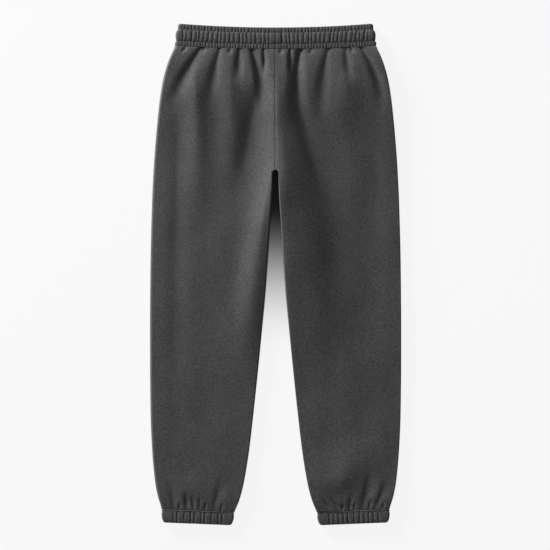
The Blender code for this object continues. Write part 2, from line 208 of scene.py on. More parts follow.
# %% [markdown]
# A crease's depth at a point is `depth * along * exp(-(distance / width) ** bluntness)`.  Along its
# course it sets in quickly and fades slowly, and it gets blunter as it widens.  One that starts at
# a seam already has a share of its depth there, because the gathers carry on across the stitches.
# A positive skew makes its right wall wider, and so gentler, than its left one.
#
# The loft less all the creases would let deep ones cut through the layer below, so the result is
# eased off above the height of two layers pressed together.


# %% Curves through the tables
def ease(t):
    """0 to 1 with a soft start and a soft end: three squares less two cubes."""
    t = np.clip(t, 0, 1)
    return t * t * (3 - 2 * t)


def column(table, field):
    """One field of all the rows of a table."""
    return np.array([getattr(row, field) for row in table], float)


def smooth_curve(table, field, at, along="down"):
    """A smooth curve through a table's rows that never overshoots them: cubic Hermite spans, whose
    slope at a row is the harmonic mean of the slopes on both sides, or 0 where the table turns."""
    x, y = column(table, along), column(table, field)
    step, rise = np.diff(x), np.diff(y)
    secant = rise / step
    slope = np.zeros_like(y)
    slope[0], slope[-1] = secant[0], secant[-1]
    same_way = secant[:-1] * secant[1:] > 0
    mean = 2 * secant[:-1] * secant[1:] / np.where(same_way, secant[:-1] + secant[1:], 1)
    slope[1:-1] = np.where(same_way, mean, 0)
    span = np.clip(np.searchsorted(x, at, side="right") - 1, 0, len(step) - 1)
    t = np.clip((at - x[span]) / step[span], 0, 1)
    return (
        y[span] * (1 + 2 * t) * (1 - t) ** 2
        + y[span + 1] * t * t * (3 - 2 * t)
        + step[span] * t * (1 - t) * (slope[span] * (1 - t) - slope[span + 1] * t)
    )


# The share of its depth that a crease has already at the seam it starts from.
AT_WAIST, AT_ANKLE = 0.7, 0.35
START_BLUNTNESS = 1.3  # a crease starts no blunter than this
# Shares of its length: when it has its own bluntness, when it is deepest, and when it fades.
BLUNT_BY, DEEP_BY, FADES_FROM = 0.5, 0.3, 0.35


def crease_depth(crease, x, down):
    """A valley whose course is the parabola through its three places, deepest near its start:
    depth * along * exp(-(distance / width) ** bluntness)."""
    t = (down - crease.start) / (crease.end - crease.start)
    s = np.clip(t, 0, 1)
    course = (
        crease.x_start * (1 - s) * (1 - 2 * s)
        + crease.x_mid * 4 * s * (1 - s)
        + crease.x_end * s * (2 * s - 1)
    )
    width = crease.width_start + (crease.width_end - crease.width_start) * np.sqrt(s)
    width = width * (1 + crease.skew * np.sign(x - course))
    sharp = min(crease.bluntness, START_BLUNTNESS)
    bluntness = sharp + (crease.bluntness - sharp) * ease(s / BLUNT_BY)
    at_seam = {0: AT_WAIST, END: AT_ANKLE}.get(crease.start, 0)
    sets_in = at_seam + (1 - at_seam) * ease(t / DEEP_BY)
    along = sets_in * (1 - ease((t - FADES_FROM) / (1 - FADES_FROM))) * (t >= 0)
    return crease.depth * along * np.exp(-((abs(x - course) / width) ** bluntness))


SLACK_WAVES = ((210, 0.34), (150, 0.3), (96, 0.2), (64, 0.12), (41, 0.08))  # length, height
SLACK_SEED = 7
SLACK_DOWN = 0.6  # below 1, the waves are longer down a leg than across it


def slack(x, down):
    """Low waves all over, as cloth keeps when it is smoothed by hand: a sum of long sines."""
    waves = np.zeros(np.broadcast(x, down).shape)
    draw = np.random.default_rng(SLACK_SEED)
    for length, height in SLACK_WAVES:
        turn, phase = draw.uniform(0, math.pi), draw.uniform(0, 2 * math.pi)
        course = x * math.cos(turn) + down * math.sin(turn) * SLACK_DOWN
        waves += height * np.sin(2 * math.pi * course / length + phase)
    return waves


BOW_MIDDLE, BOW_DROP, BOW_HALF_WIDTH = 1.0, 3.0, 250.0  # 1 mm up, and 3 mm lower at the sides
BOW_IN, BOW_OUT, BOW_END = 60.0, 500.0, 700.0  # the lengths of its two fades, and where it ends


def bow(x, down):
    """The middle stands higher than the sides: a parabola across, fading in below the waistband
    and out down the legs."""
    across = BOW_MIDDLE - BOW_DROP * (x / BOW_HALF_WIDTH) ** 2
    return across * ease(down / BOW_IN) * ease((BOW_END - down) / BOW_OUT)


EASED_OVER = 0.7  # the larger, the softer the bottom of a deep crease


def upper_face(x, down):
    """Height of the back's upper face: loft, bow and slack less the creases, eased off above the
    height of two pressed layers: least + over * log(1 + exp((height - least) / over))."""
    height = smooth_curve(LEG, "loft", down) + bow(x, down) + slack(x, down)
    for crease in BACK_CREASES:
        height = height - crease_depth(crease, x, down)
    return LEAST_LOFT + EASED_OVER * np.logaddexp(0, (height - LEAST_LOFT) / EASED_OVER)


seat, knee = upper_face(np.array([120.0, 150.0]), np.array([150.0, 600.0]))
print(f"height of the right leg's back at the seat {seat:.1f} mm, at the knee {knee:.1f} mm")


# %% [markdown]
# ## A wall of cloth
#
# Every piece is a closed wall: a grid of points for the outer face, one for the inner face, and
# strips that join them round the edges.  The grids are whole numpy arrays, so making one is quick.
# Away from its edges the inner face lies straight below the outer one, which keeps the two from
# crossing in the sharp valleys.


# %% Build a closed wall from two grids
SHARP_ANGLE = math.radians(60)  # a wall's edges stay crisp, and its creases don't


def grid_quads(index):
    """The four corner numbers of every cell of a grid of point numbers."""
    return np.stack([index[:-1, :-1], index[:-1, 1:], index[1:, 1:], index[1:, :-1]], -1)


def add_mesh(name, points, quads):
    """A smooth mesh object from points in millimetres and rows of four corner numbers."""
    mesh = bpy.data.meshes.new(name)
    mesh.from_pydata((points * MM).tolist(), [], quads.tolist())
    mesh.update()
    mesh.shade_smooth()
    piece = bpy.data.objects.new(name, mesh)
    bpy.context.scene.collection.objects.link(piece)
    return piece


def panel_wall(name, outer, inner):
    """A panel: two grids of (rows, columns, xyz), closed along their four edges."""
    rows, columns = outer.shape[:2]
    index = np.arange(rows * columns).reshape(rows, columns)
    below = index + rows * columns
    rim = np.concatenate([index[0], index[1:, -1], index[-1, -2::-1], index[-2::-1, 0]])
    edge = np.stack([rim[1:], rim[:-1], rim[:-1] + below[0, 0], rim[1:] + below[0, 0]], -1)
    quads = [grid_quads(index), grid_quads(below)[..., ::-1], edge]
    points = np.concatenate([outer.reshape(-1, 3), inner.reshape(-1, 3)])
    piece = add_mesh(name, points, np.concatenate([quad.reshape(-1, 4) for quad in quads]))
    piece.data.set_sharp_from_angle(angle=SHARP_ANGLE)
    return piece


def ring_wall(name, loop):
    """A flattened ring: a grid of (profile, round, xyz) that closes on itself both ways."""
    profile, around = loop.shape[:2]
    index = np.arange(profile * around).reshape(profile, around)
    index = np.vstack([index, index[:1]])
    index = np.hstack([index, index[:, :1]])
    return add_mesh(name, loop.reshape(-1, 3), grid_quads(index).reshape(-1, 4))


# %% [markdown]
# ## The panels
#
# A back panel is the upper half of a leg's tube.  Its height rises from the seams on a quarter
# turn, steeply at first, so the side rolls over as folded cloth does.  The front panel is the lower
# half: it lies on the surface and rises only where a high crease of the back lifts it, which keeps
# the two layers nested.
#
# Two sewn pieces stay a hair's breadth apart, and light would fall straight through that gap as it
# never does through a seam.  So at each seam the inner faces are shifted until one edge leans over
# the other.


# %% Where the points of a row lie
ROLL_STEPS = 10  # steps round a rolled edge
Grid = namedtuple("Grid", "waist_rows leg_rows middle_steps")
BACK_GRID, FRONT_GRID = Grid(92, 140, 158), Grid(70, 90, 84)
WAIST_CROWDING, ANKLE_CROWDING = 1.4, 1.8  # above 1, rows stand closer towards that end
FORK_ROWS = 8  # where the panels part


def inseam_at(field, down, fork):
    """The inseam's distance from the centre line.  Above the fork it is the centre seam, and over
    the fork's opening it eases from that to the table's curve."""
    centre_seam = SEAM_GAP / 2
    inseam = smooth_curve(LEG, field, np.maximum(down, fork + FORK_OPENING))
    return centre_seam + (inseam - centre_seam) * ease((down - fork) / FORK_OPENING)


def rows_down(grid, fork):
    """Distances below the waistband seam, crowded at the waist, the fork and the ankle: a power of
    evenly spaced shares above the fork, and 1 less such a power below it."""
    waist = fork * np.linspace(0, 1, grid.waist_rows) ** WAIST_CROWDING
    leg = 1 - (1 - np.linspace(0, 1, grid.leg_rows)) ** ANKLE_CROWDING
    leg = fork + FORK_OPENING + (LEG_LENGTH - SEAM_GAP - fork - FORK_OPENING) * leg
    opening = fork + FORK_OPENING * np.linspace(0, 1, FORK_ROWS)[1:-1]
    return np.concatenate([waist, opening, leg])[:, None]


def across_steps(middle_steps, roll_in, roll_out, width):
    """Places across a leg, and how far each point has risen round the edge it is nearest to: at an
    angle round a rolled edge it lies 1 - cos in from the edge and sin of the way up."""
    turn = np.linspace(0, math.pi / 2, ROLL_STEPS + 1)
    start = roll_in / width * (1 - np.cos(turn))
    end = 1 - roll_out / width * (1 - np.cos(turn))
    middle = np.linspace(0, 1, middle_steps + 1)[1:-1]
    middle = start[:, -1:] + (end[:, -1:] - start[:, -1:]) * middle
    level = np.ones(middle_steps + ROLL_STEPS)
    rise_in = np.concatenate([np.sin(turn), level])
    return np.hstack([start, middle, end[:, ::-1]]), rise_in, rise_in[::-1]


def row_place(field, side, across, down, fork):
    """Where the points of each row lie in plan: x goes evenly from inseam to side seam, and y
    climbs evenly too, or as the square of the place across below the curved waistband."""
    inner, outer = inseam_at(field, down, fork), smooth_curve(LEG, "side", down)
    x = inner + (outer - inner) * across
    bend = ease(1 - down / WAIST_CURVE_FADES)
    rise = ROW_RISE * (across + (across**2 - across) * bend)
    return side * x, WAIST_SEAM_Y - SEAM_GAP - down + rise


def lap(x, down, fork):
    """How far the inner face is shifted at a seam, so that no light passes straight through it:
    one edge leans over the other at the centre seam, and both lean in at the waist and ankle."""
    centre = (1 - ease((abs(x) - SEAM_GAP) / CENTRE_LAP_FADES)) * (down < fork)
    waist = 1 - ease(down / END_LAP_FADES)
    ankle = 1 - ease((LEG_LENGTH - down) / END_LAP_FADES)
    return -LAP * centre, LAP * (waist - ankle)


def facing(side, *grids):
    """Grids with their rows going up the leg and their columns towards +X."""
    return [grid[::-1, :: int(side)] for grid in grids]


# %% The two back panels
def back_panel(name, side):
    """Upper face of a leg, rolled down to the inseam and the side seam: a seam's height and then
    the share of the way up to the face that each point has risen."""
    down = rows_down(BACK_GRID, BACK_FORK)
    width = smooth_curve(LEG, "side", down) - inseam_at("inseam", down, BACK_FORK)
    split = ease((down - BACK_FORK) / FORK_OPENING)  # 0 along the centre seam, 1 on the inseam
    swell = INSEAM_ROLL[side] * smooth_curve(LEG, "swell", down)
    roll_in = CENTRE_ROLL + (swell - CENTRE_ROLL) * split
    across, rise_in, rise_out = across_steps(
        BACK_GRID.middle_steps, roll_in, SIDE_ROLL[side], width
    )
    x, y = row_place("inseam", side, across, down, BACK_FORK)
    height = upper_face(x, down)
    seam = PARTING + SEAM_GAP / 2

    def rolled(face, centre_edge):
        edge = centre_edge + (seam - centre_edge) * split
        return seam + (edge + (face - edge) * rise_in - seam) * rise_out

    upper_z = rolled(height, height - CENTRE_GROOVE[side])
    under_z = rolled(height - CLOTH, height - CLOTH)
    turned = CLOTH * (split * (1 - rise_in) - (1 - rise_out))
    x_under, y_under = row_place("inseam", side, across + turned / width, down, BACK_FORK)
    shift_x, shift_y = lap(x, down, BACK_FORK)
    upper = np.stack([x, y, upper_z], -1)
    under = np.stack([x_under + shift_x, y_under + shift_y, under_z], -1)
    return panel_wall(name, *facing(side, upper, under))


back_left = back_panel("back_left_cloth", -1)
back_right = back_panel("back_right_cloth", 1)
print("back panel:", len(back_left.data.polygons), "quads")


# %% The two front panels
def front_lift(x, down):
    """How far the front rises off the surface: what the back's height has over two layers and
    their air, fading out at the seams."""
    excess = np.maximum(upper_face(x, down) - 2 * CLOTH - NEST_GAP, 0)
    joined = ease((BACK_FORK - down) / NEST_IN)  # above the fork the two panels rise as one
    from_inseam = abs(x) - inseam_at("inseam", down, BACK_FORK) - FRONT_ROLL * (1 - joined)
    from_side = smooth_curve(LEG, "side", down) - abs(x)
    return excess * ease(np.minimum(from_inseam + NEST_IN * joined, from_side) / NEST_IN)


def front_panel(name, side):
    """Under face of a leg, flat where it rests, its edges rolled up to the seams: the cloth's
    height and then the share of the way to the seam that each point has risen."""
    down = rows_down(FRONT_GRID, FRONT_FORK)
    width = smooth_curve(LEG, "side", down) - inseam_at("front_inseam", down, FRONT_FORK)
    across, rise_in, rise_out = across_steps(
        FRONT_GRID.middle_steps, FRONT_ROLL, FRONT_ROLL, width
    )
    x, y = row_place("front_inseam", side, across, down, FRONT_FORK)
    lift = front_lift(x, down)
    split = ease((down - FRONT_FORK) / FORK_OPENING)
    edge_in, edge_out = split * (1 - rise_in), 1 - rise_out
    seam = PARTING - SEAM_GAP / 2
    rolled = np.maximum(edge_in, edge_out)
    turned = CLOTH * (edge_in - edge_out)
    x_upper, y_upper = row_place("front_inseam", side, across + turned / width, down, FRONT_FORK)
    shift_x, shift_y = lap(x, down, FRONT_FORK)
    upper = np.stack([x_upper, y_upper, CLOTH + lift + (seam - CLOTH) * rolled], -1)
    under = np.stack([x + shift_x, y + shift_y, lift + seam * rolled], -1)
    return panel_wall(name, *facing(side, upper, under))


front_left = front_panel("front_left_cloth", -1)
front_right = front_panel("front_right_cloth", 1)
print("front panel:", len(front_left.data.polygons), "quads")

# %% [markdown]
# ## Gathered bands
#
# The waistband is a flattened ring of cloth over elastic, stitched into a wide roll between two
# narrow ones.  Each roll is a row of flutes: full rounded tops and sharp valleys, never evenly
# spaced.  The valleys' places are a running sum of slightly uneven steps, and those of the wide
# roll keep clear of the centre seam.  The height between two valleys is `sin(pi * t) ** 0.4`, which
# is round on top and steep beside the valley.
#
# An ankle cuff is also a flattened ring: a narrow stitched rib at its seam, then one wide roll.
# Its gathers are few and far apart, with flat cloth between them, so each is a groove of its own,
# placed by the same uneven steps.

# %% Sizes of the bands
BAND_HEIGHT_CENTRE, BAND_HEIGHT_SIDE = 43.9, 46.5
WAIST_STITCHES = (11.0, 33.0)  # rows of stitches, from the waistband's seam
CUFF_HEIGHT = 28.2
CUFF_STITCHES = (1.2, 4.0)
GATHERED = 190.0  # the waistband is gathered this far to each side of its centre
CENTRE_PLAIN = 14.0  # the valleys of its wide roll keep this far from the centre seam
CUFF_GATHERED = 50.0  # a cuff is gathered this far to each side of its middle


def swing(number, mean, height, turn, phase):
    """A value that rises and falls from one gather to the next: mean + height * sin(turn * number
    + phase)."""
    return mean + height * np.sin(turn * number + phase)


def uneven(count, seed, start=-GATHERED, end=GATHERED):
    """Places of a roll's valleys from start to end: a running sum of steps, each of which is 1 and
    two small sines of its number."""
    number = np.arange(count + 1)
    step = swing(number, mean=1, height=0.2, turn=2.4, phase=seed)
    step = step + swing(number, mean=0, height=0.16, turn=5.1, phase=2 * seed)
    place = np.cumsum(step) - step[0]
    return start + (end - start) * place / place[-1]


WIDE_ROLL = np.hstack([uneven(20, 1.7, -GATHERED, -CENTRE_PLAIN), uneven(20, 0.6, CENTRE_PLAIN)])
Roll = namedtuple("Roll", "start end crest groove valleys flute slant seed")
WAIST_ROLLS = (
    Roll(0.0, WAIST_STITCHES[0], 12.9, 12.2, uneven(62, 0.0), 1.4, 0.4, 0.0),
    Roll(*WAIST_STITCHES, 13.6, 12.2, WIDE_ROLL, 2.1, 2.2, 1.7),
    Roll(WAIST_STITCHES[1], BAND_HEIGHT_CENTRE, 12.9, 12.2, uneven(56, 3.1), 1.5, 0.5, 3.1),
)
# A groove of a cuff: its place from the cuff's middle at the seam, how far it leans by the hem,
# and its share of the depth.
Groove = namedtuple("Groove", "x lean share")


def cuff_grooves(count, seed):
    """Grooves at uneven places, with leans and shares that swing as sines of their number."""
    number = np.arange(count)
    place = uneven(count - 1, seed, -CUFF_GATHERED, CUFF_GATHERED)
    lean = swing(number, mean=1.2, height=1.6, turn=3.7, phase=seed)
    share = swing(number, mean=0.8, height=0.2, turn=2.9, phase=2 * seed)
    return [Groove(*row) for row in zip(place, lean, share, strict=True)]


CUFF_ROLLS = {
    side: (
        Roll(0.0, CUFF_STITCHES[1], 9.1, 8.3, grooves, 0.0, 0.0, 0.0),
        Roll(CUFF_STITCHES[1], CUFF_HEIGHT, 9.4, 8.3, grooves, 1.5, 0.0, 0.0),
    )
    for side, grooves in ((-1, cuff_grooves(10, 2.2)), (1, cuff_grooves(11, 0.9)))
}
# The half width along a band, from its seam to its free edge.
Edge = namedtuple("Edge", "along half_width")
WAIST_EDGE = (
    Edge(0.0, 204.0),
    Edge(5.5, 205.0),
    Edge(11.0, 202.4),
    Edge(16.0, 203.2),
    Edge(22.0, 203.4),
    Edge(28.0, 202.0),
    Edge(33.0, 198.8),
    Edge(38.0, 198.6),
    Edge(41.5, 198.0),
    Edge(BAND_HEIGHT_CENTRE, 195.8),
)
CUFF_EDGE = (
    Edge(0.0, 73.6),
    Edge(3.0, 74.0),
    Edge(6.0, 73.0),
    Edge(10.0, 73.8),
    Edge(16.0, 73.2),
    Edge(21.0, 72.0),
    Edge(24.5, 70.6),
    Edge(26.8, 68.8),
    Edge(CUFF_HEIGHT, 66.4),
)
# A band's slit is its opening pressed flat, between two heights.  Its `centre_seam` is the plain
# width to each side of the waistband's own seam, and its steps are those of one face.
Band = namedtuple("Band", "rolls edge slit_under slit_top centre_seam steps")
WAIST = Band(WAIST_ROLLS, WAIST_EDGE, 4.5, 8.1, 9.0, 780)
CUFFS = {side: Band(CUFF_ROLLS[side], CUFF_EDGE, 3.4, 6.4, 0.0, 260) for side in (-1, 1)}
print("valleys in the waistband's rolls:", [len(roll.valleys) for roll in WAIST_ROLLS])
print("grooves in the left and right cuff:", [len(CUFF_ROLLS[side][1].valleys) for side in (-1, 1)])


# %% Flutes and rolls
FLUTE_POWER = 0.4  # below 1, full rounded tops and sharp valleys
LEAN_RADIAN = 47.0  # millimetres to each radian of the swing in the valleys' lean
FLUTE_ENDS_OVER, FLUTE_STARTS_OVER = 4.0, 3.0  # at the smooth ends, and beside the centre seam
HAIR = 0.01  # keeps a place between the first valley and the last
GROOVE_WIDTH, GROOVE_POWER = 1.3, 1.7  # half width of a cuff's groove, and how square it is
GROOVE_SETS_IN = 3.0
ROLL_POWER = 0.3  # below 1, a roll rises steeply beside its stitches
SEAM_DEPTH, SEAM_WIDTH = 0.7, 1.3  # of the waistband's own seam at the centre back
UNDER_RISE = 1.2  # how far the under face rises at the stitches
UNDER_FLUTES = 0.6  # share of the upper face's flutes


def flutes(x, along, roll):
    """0 on a flute's top, 1 in a valley, at the places x and the distances along the waistband:
    1 - sin(pi * t) ** power, where t runs from 0 to 1 between two valleys.

    The valleys differ in depth, lean a little, and stop at the smooth ends and beside the centre
    seam.
    """
    valley = roll.valleys
    middle = (roll.start + roll.end) / 2
    leaning = roll.slant * np.sin(x / LEAN_RADIAN + roll.seed)
    at = x + leaning * (along - middle) / (roll.end - roll.start)
    at = np.clip(at, HAIR - GATHERED, GATHERED - HAIR)
    span = np.clip(np.searchsorted(valley, at, side="right") - 1, 0, len(valley) - 2)
    t = (at - valley[span]) / (valley[span + 1] - valley[span])
    depth = swing(span + np.round(t), mean=0.72, height=0.28, turn=3.3, phase=roll.seed)
    top = np.sin(math.pi * np.clip(t, 0, 1)) ** FLUTE_POWER
    ends = ease((GATHERED - abs(x)) / FLUTE_ENDS_OVER + 0.5)
    return (1 - top) * depth * ends * ease((abs(x) - WAIST.centre_seam) / FLUTE_STARTS_OVER)


def cuff_flutes(x, along, roll):
    """0 on the flat tops, up to 1 in the grooves: share * exp(-(distance / width) ** power)."""
    valleys = np.zeros(np.broadcast(x, along).shape)
    sets_in = ease((along - roll.start) / GROOVE_SETS_IN)
    for groove in roll.valleys:
        course = groove.x + groove.lean * along / CUFF_HEIGHT
        valley = groove.share * np.exp(-((abs(x - course) / GROOVE_WIDTH) ** GROOVE_POWER))
        valleys = np.maximum(valleys, valley)
    return valleys * sets_in


def roll_height(x, along, band, face):
    """Height of a band's upper face (face = 1), or of its under face (face = -1).

    Between two rows of stitches a roll is the arch sin(pi * t) ** power, less its flutes.
    """
    height = np.zeros(np.broadcast(x, along).shape)
    flute = flutes if band is WAIST else cuff_flutes
    for roll in band.rolls:
        inside = (along >= roll.start) & (along <= roll.end)
        t = np.clip((along - roll.start) / (roll.end - roll.start), 0, 1)
        arch = np.sin(math.pi * t) ** ROLL_POWER
        fluted = roll.flute * arch**0.5 * flute(x, along, roll)
        if face > 0:
            z = roll.groove + (roll.crest - roll.groove) * arch - fluted
            z = z - SEAM_DEPTH * np.exp(-((x / SEAM_WIDTH) ** 2)) * (band.centre_seam > 0)
        else:
            z = UNDER_RISE * (1 - arch) + UNDER_FLUTES * fluted
        height = np.where(inside, z, height)
    return height


END_POINTS, END_POWER = 14, 0.6  # round a ring's ends, which are blunter than half circles
FACE_IN = 5.0  # the faces keep this far from the ends
SLIT_FLOOR = 1.6  # least cloth below the slit
SLIT_IN, SLIT_SHORT = 4.2, 0.03  # the slit is this much narrower, and this share shorter
SLIT_STEPS = 5
# The panels' edges lean in under a band's seam, so the band's lower half is cut back there.
UNDERCUT_POWER, UNDERCUT_BELOW = 12, 9.0


def band_loop(band, profile_steps):
    """The closed grid of a band in its own measure: x across, along the band, and height z.

    A ring goes over the upper face, round one end, back along the under face and round the other
    end.  The outer rings run from the seam to the free edge, and those of the slit run back.
    """
    length = band.rolls[-1].end
    along = length * np.linspace(0, 1, profile_steps)[:, None]
    half = smooth_curve(band.edge, "half_width", along, "along")
    place = np.linspace(-1, 1, band.steps)
    turn = np.linspace(0, math.pi, END_POINTS + 2)[1:-1]

    def ring(top, under, half_width):
        middle, radius = (top[:, -1:] + under[:, -1:]) / 2, (top[:, -1:] - under[:, -1:]) / 2
        end_x = half_width - radius + radius * np.sin(turn) ** END_POWER
        end_z = middle + radius * np.cos(turn)
        face_x = (half_width - radius) * place
        x = np.hstack([face_x, end_x, face_x[:, ::-1], -end_x])
        return x, np.hstack([top, end_z, under[:, ::-1], end_z[:, ::-1]])

    face_x = (half - FACE_IN) * place
    top, under = roll_height(face_x, along, band, 1), roll_height(face_x, along, band, -1)
    outer_x, outer_z = ring(top, np.minimum(under, band.slit_under - SLIT_FLOOR), half)
    inner_along = along[::-1][:: profile_steps // SLIT_STEPS]
    inner_half = smooth_curve(band.edge, "half_width", inner_along, "along") - SLIT_IN
    slit = np.ones((len(inner_along), band.steps))
    inner_x, inner_z = ring(slit * band.slit_top, slit * band.slit_under, inner_half)
    inner_along = inner_along + (length / 2 - inner_along) * SLIT_SHORT
    spread = np.ones_like(outer_x[:1])
    below = outer_z < UNDERCUT_BELOW
    undercut = (LAP + SEAM_GAP) * (1 - along / length) ** UNDERCUT_POWER * below
    measure = np.vstack([along * spread + undercut, inner_along * spread])
    return np.stack([np.vstack([outer_x, inner_x]), measure, np.vstack([outer_z, inner_z])], -1)


# %% Where a band lies
def waist_place(points):
    """The band curves: as the square of x, its ends sit higher than its middle and are taller."""
    x, along, z = points[..., 0], points[..., 1], points[..., 2]
    share = np.clip(x / LEG[0].side, -1, 1) ** 2
    height = BAND_HEIGHT_CENTRE + (BAND_HEIGHT_SIDE - BAND_HEIGHT_CENTRE) * share
    y = WAIST_SEAM_Y + ROW_RISE * share + along * height / BAND_HEIGHT_CENTRE
    return np.stack([x, y, z], -1)


def cuff_place(points, side):
    """The cuff hangs square to the leaning leg: both its measures are turned by the small angle
    that a row climbs, a share of y into x and of x into y."""
    x, along, z = points[..., 0], points[..., 1], points[..., 2]
    end = LEG[-1]
    centre, width = (end.side + end.inseam) / 2, end.side - end.inseam
    lean = ROW_RISE / width
    seam_y = WAIST_SEAM_Y - LEG_LENGTH - SEAM_GAP + ROW_RISE / 2
    return np.stack([side * (centre + lean * along) + x, seam_y + side * lean * x - along, z], -1)


waistband = ring_wall("waistband_cloth", waist_place(band_loop(WAIST, profile_steps=46)))
left_loop, right_loop = (band_loop(CUFFS[side], profile_steps=34) for side in (-1, 1))
cuff_left = ring_wall("left_cuff_cloth", cuff_place(left_loop, -1)[::-1])
cuff_right = ring_wall("right_cuff_cloth", cuff_place(right_loop, 1)[::-1])
print("waistband:", len(waistband.data.polygons), "quads; cuff:", len(cuff_left.data.polygons))

# %% [markdown]
# ## Stitches
#
# Rows of stitches hold the rolls of the bands down.  A stitch is a small rounded bar that follows
# the fluted surface.  There are hundreds, so one bar of a few faces is worked out once and placed
# by whole arrays into a single mesh for each band.

# %% Rows of stitches
STITCH_PITCH, STITCH_LENGTH, THREAD = 3.3, 2.5, 0.62
STITCHES_IN = 6  # the rows stop this far from a band's ends
PROUD = 0.12  # how far a stitch's middle stands out of the cloth
BAR_SIDES = 6
# Places along a bar and shares of its thickness.
BAR_RINGS = np.array([[-0.5, 0.25], [-0.36, 0.8], [0.0, 1.0], [0.36, 0.8], [0.5, 0.25]])


def stitch_bars(start, end):
    """Bars from start to end, arrays of (stitches, xyz): a circle round the bar's run at each of
    its rings, closed at the tips."""
    run = end - start
    length = np.linalg.norm(run, axis=1, keepdims=True)
    run = run / length
    up = np.array([0.0, 0.0, 1.0]) - run * run[:, 2:]
    up /= np.linalg.norm(up, axis=1, keepdims=True)
    side = np.cross(run, up)
    turn = np.linspace(0, 2 * math.pi, BAR_SIDES, endpoint=False)
    round_ring = side[:, None] * np.cos(turn)[:, None] + up[:, None] * np.sin(turn)[:, None]
    middle = (start + end) / 2
    reach = (run * length)[:, None] * BAR_RINGS[:, :1]
    rings = middle[:, None, None] + reach[:, :, None]
    rings = rings + round_ring[:, None] * (BAR_RINGS[:, 1] * THREAD / 2)[:, None, None]
    count, ring_count = rings.shape[:2]
    index = np.arange(ring_count * BAR_SIDES).reshape(ring_count, BAR_SIDES)
    wall = grid_quads(np.hstack([index, index[:, :1]])).reshape(-1, 4)
    tips = np.array([[3, 2, 1, 0], [5, 4, 3, 0]])
    tips = np.concatenate([tips, index[-1][np.array([[0, 1, 2, 3], [0, 3, 4, 5]])]])
    quads = np.concatenate([wall, tips])
    first = np.arange(count)[:, None, None] * ring_count * BAR_SIDES
    return rings.reshape(-1, 3), (quads + first).reshape(-1, 4)


def stitch_rows(name, band, rows, place):
    """Stitches along each row of a band, on its upper and its under face."""
    starts, ends = [], []
    for along in rows:
        half = float(smooth_curve(band.edge, "half_width", along, "along")) - STITCHES_IN
        x = np.arange(-half, half - STITCH_LENGTH, STITCH_PITCH)
        for face, proud in ((1, PROUD), (-1, -PROUD)):
            for tips, shift in ((starts, 0), (ends, STITCH_LENGTH)):
                z = roll_height(x + shift, np.full_like(x, along), band, face) + proud
                if face < 0:
                    z = np.maximum(np.minimum(z, band.slit_under - SLIT_FLOOR), THREAD / 2)
                tips.append(place(np.stack([x + shift, np.full_like(x, along), z], -1)))
    points, quads = stitch_bars(np.concatenate(starts), np.concatenate(ends))
    return add_mesh(name, points, quads)


def cuff_stitch_rows(name, side):
    """A cuff's rows of stitches, carried to where the cuff lies."""
    return stitch_rows(name, CUFFS[side], CUFF_STITCHES, lambda points: cuff_place(points, side))


waist_stitches = stitch_rows("waistband_stitches", WAIST, WAIST_STITCHES, waist_place)
cuff_stitches = [
    cuff_stitch_rows("left_cuff_stitches", -1),
    cuff_stitch_rows("right_cuff_stitches", 1),
]
bar_points = len(BAR_RINGS) * BAR_SIDES
print("stitches on the waistband:", len(waist_stitches.data.vertices) // bar_points)

# %% [markdown]
# ## The fleece
#
# Brushed fleece is matt and soft.  Its yarns are dyed a little unevenly, so the charcoal is mottled
# at two scales.  The tips of its short nap fleck it with lighter and darker points, and catch light
# along the cloth's edges.  Mottling, flecks and nap are noise on Object coordinates, which are the
# garment's own coordinates, because every piece's origin is the garment's origin.  The soft edge
# light is the shader's own sheen.


# %% Shader sums as Python expressions
class Sock:
    """A socket's value inside a material, which can be added, multiplied and so on."""

    def __init__(self, shader, socket):
        self.shader, self.socket = shader, socket

    def math(self, operation, *values):
        """The result of a new Math node."""
        return self.shader.node("ShaderNodeMath", {"operation": operation}, *values)[0]

    def __add__(self, other):
        return self.math("ADD", self, other)

    def __radd__(self, other):
        return self.math("ADD", other, self)

    def __sub__(self, other):
        return self.math("SUBTRACT", self, other)

    def __rsub__(self, other):
        return self.math("SUBTRACT", other, self)

    def __mul__(self, other):
        return self.math("MULTIPLY", self, other)

    def __rmul__(self, other):
        return self.math("MULTIPLY", other, self)


class Shader:
    """A material's node tree, with one method that makes any node."""

    def __init__(self, name):
        self.material = bpy.data.materials.new(name)
        self.material.use_nodes = True
        self.tree = self.material.node_tree
        self.surface = self.tree.nodes["Principled BSDF"]

    def node(self, kind, settings, *values, **named):
        """Makes a node, applies its settings, then fills sockets in order or by name."""
        node = self.tree.nodes.new(kind)
        for key, value in settings.items():
            setattr(node, key, value)
        for key, value in list(enumerate(values)) + list(named.items()):
            self.fill(node.inputs[key if isinstance(key, int) else key.replace("_", " ")], value)
        return [Sock(self, socket) for socket in node.outputs if socket.enabled]

    def fill(self, socket, value):
        """Links a socket to a value inside the material, or sets it to a plain value."""
        if isinstance(value, Sock):
            self.tree.links.new(value.socket, socket)
        else:
            socket.default_value = value

    def settings(self, values):
        """Fills the surface shader's own sockets by name."""
        for name, value in values.items():
            self.fill(self.surface.inputs[name], value)


# %% Charcoal fleece
CHARCOAL = (0.0490, 0.0490, 0.0505)
THREAD_COLOUR = (0.034, 0.034, 0.036)
BROAD_TINT, MOTTLE_TINT, FLECK_TINT = 0.22, 0.15, 4.6
NAP_HEIGHT = 0.00025  # metres
NAP_BUMP = 0.6  # strength
FINE_NAP = 0.5  # the finer nap's share beside the coarser one
# Noise is faint along the planes of its own grid, so the grid is turned out of the cloth's plane.
NOISE_TURN = (0.61, 0.47, 0.32)


